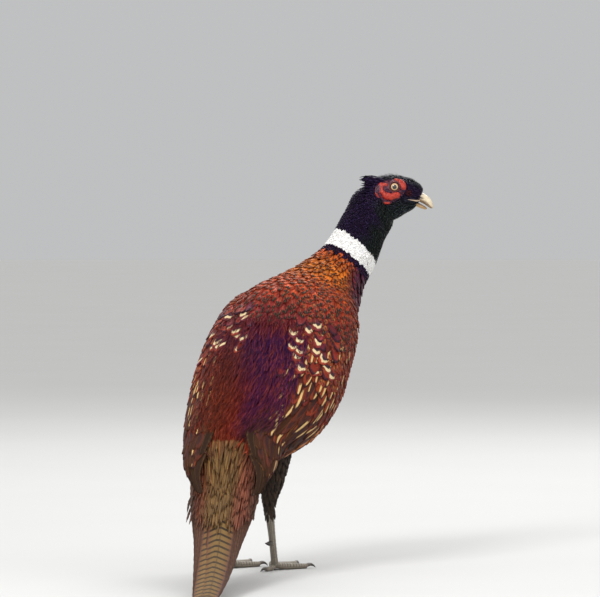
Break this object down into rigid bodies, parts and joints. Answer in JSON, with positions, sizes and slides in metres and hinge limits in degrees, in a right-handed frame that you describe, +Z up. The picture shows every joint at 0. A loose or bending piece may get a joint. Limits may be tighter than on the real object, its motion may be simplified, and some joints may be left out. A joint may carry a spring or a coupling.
{
  "type": "common pheasant",
  "caption": "Life-size still model of a cock common pheasant, standing with its long tail laid to the floor and its head turned to the right.",
  "frame": {"origin": "middle of the bird's box, on the floor under its feet", "axes": "+Z up, +Y from the tail's end towards the breast, +X the side to which the head is turned"},
  "size_m": [0.2704, 0.5978, 0.4249],
  "materials": {
    "dark_green_feather": "glossy dark green and purple feathers",
    "white_feather": "matte white feathers",
    "chestnut_feather": "silky copper feathers with dark scales",
    "wing_feather": "brown and buff patterned feathers",
    "tail_feather": "buff feathers with dark bars",
    "dark_feather": "matte blackish brown feathers",
    "red_skin": "matte wrinkled bare skin",
    "bill_horn": "satin pale horn",
    "eye": "glossy",
    "leg_scale": "matte scaly skin",
    "claw_horn": "satin dark horn"
  },
  "bodies": {
    "root": {"head": "dark_green_feather", "bill_upper": "bill_horn", "bill_lower": "bill_horn", "eye_right": "eye", "face_right": "red_skin", "ear_tuft_right": "dark_green_feather", "eye_left": "eye", "face_left": "red_skin", "ear_tuft_left": "dark_green_feather", "neck": "dark_green_feather", "neck_ring": "white_feather", "trunk": "chestnut_feather", "wing_right": "wing_feather", "wing_left": "wing_feather", "rump_coverts": "chestnut_feather", "vent_coverts": "dark_feather", "tail_middle": "tail_feather", "tail_inner_right": "tail_feather", "tail_inner_left": "tail_feather", "tail_second_right": "tail_feather", "tail_second_left": "tail_feather", "tail_outer_right": "tail_feather", "tail_outer_left": "tail_feather", "thigh_right": "dark_feather", "shank_right": "leg_scale", "spur_right": "claw_horn", "toe_inner_right": "leg_scale", "claw_inner_right": "claw_horn", "toe_middle_right": "leg_scale", "claw_middle_right": "claw_horn", "toe_outer_right": "leg_scale", "claw_outer_right": "claw_horn", "toe_hind_right": "leg_scale", "claw_hind_right": "claw_horn", "thigh_left": "dark_feather", "shank_left": "leg_scale", "spur_left": "claw_horn", "toe_inner_left": "leg_scale", "claw_inner_left": "claw_horn", "toe_middle_left": "leg_scale", "claw_middle_left": "claw_horn", "toe_outer_left": "leg_scale", "claw_outer_left": "claw_horn", "toe_hind_left": "leg_scale", "claw_hind_left": "claw_horn"}
  },
  "joints": []
}
